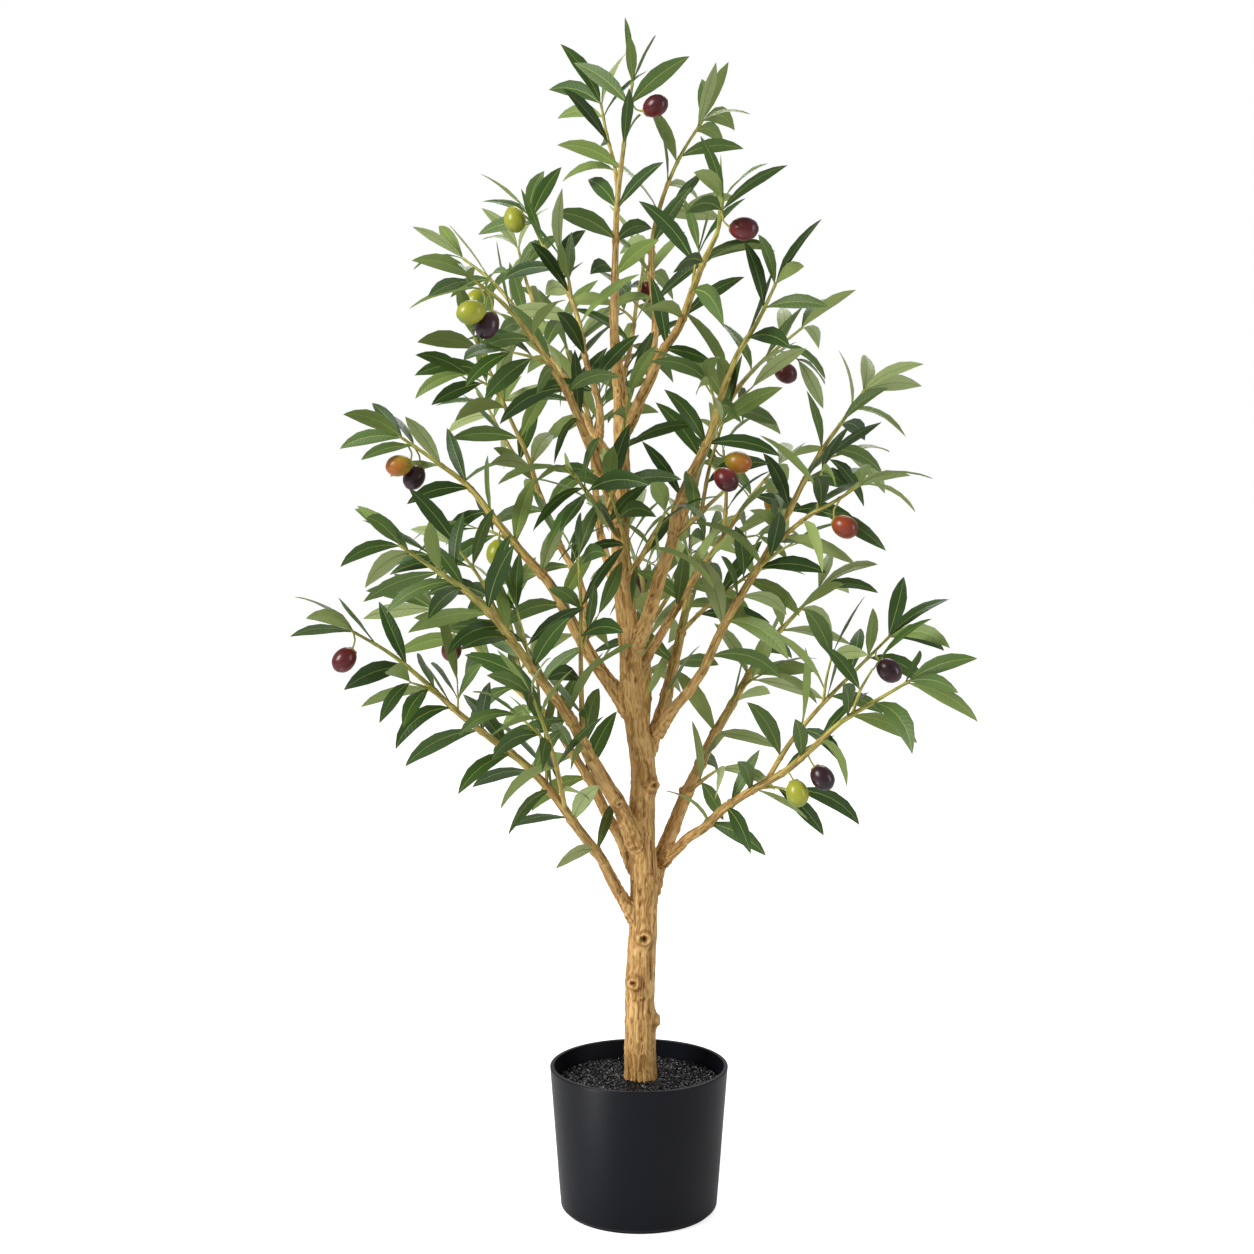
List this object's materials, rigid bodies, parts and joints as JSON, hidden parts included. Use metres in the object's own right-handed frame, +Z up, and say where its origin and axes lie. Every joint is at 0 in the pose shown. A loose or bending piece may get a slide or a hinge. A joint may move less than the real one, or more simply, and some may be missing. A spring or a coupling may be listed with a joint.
{
  "type": "artificial potted olive tree",
  "caption": "Artificial olive tree with a grained trunk, upswept boughs, slender green leaves and a few olives, in a plain black plastic pot topped with granules.",
  "frame": {"origin": "middle of the pot's flat underside", "axes": "+Z up along the trunk, -Y towards the side that the picture shows, +X to the right of that side"},
  "size_m": [0.6415, 0.5774, 1.1976],
  "materials": {
    "pot": "satin black plastic",
    "granules": "loose black glossy granules on a weighted core",
    "bark": "matt tan bark with fine upright grain and knots",
    "foliage": "satin green leaves, paler beneath, on tan twigs"
  },
  "bodies": {
    "root": {"pot": "pot", "granule_fill": "granules", "trunk": "bark", "bough_low_left": "bark", "bough_low_right": "bark", "bough_low_right_outer": "bark", "bough_mid_left": "bark", "bough_left": "bark", "bough_left_upright": "bark", "bough_high_left": "bark", "bough_high_left_upright": "bark", "bough_back_left": "bark", "bough_mid_right": "bark", "bough_right": "bark", "bough_high_right": "bark", "bough_high_right_back": "bark", "bough_top_right": "bark", "bough_top_right_back": "bark", "bough_back_low": "bark", "bough_back_low_left": "bark", "bough_back_right": "bark", "bough_back_high": "bark", "spray_low_left": "foliage", "spray_low_right_inner": "foliage", "spray_low_right_twig": "foliage", "spray_low_right_outer": "foliage", "spray_mid_left": "foliage", "spray_left": "foliage", "spray_upper_left": "foliage", "spray_high_left": "foliage", "spray_high_left_upright": "foliage", "spray_back_left": "foliage", "spray_front_left": "foliage", "spray_mid_right": "foliage", "spray_right": "foliage", "spray_high_right": "foliage", "spray_high_right_back": "foliage", "spray_high_right_twig": "foliage", "spray_front_right": "foliage", "spray_top_right": "foliage", "spray_top_right_back": "foliage", "spray_top_back": "foliage", "spray_leader": "foliage", "spray_back_low": "foliage", "spray_back_low_left": "foliage", "spray_back_right": "foliage", "spray_back_high": "foliage"}
  },
  "joints": []
}
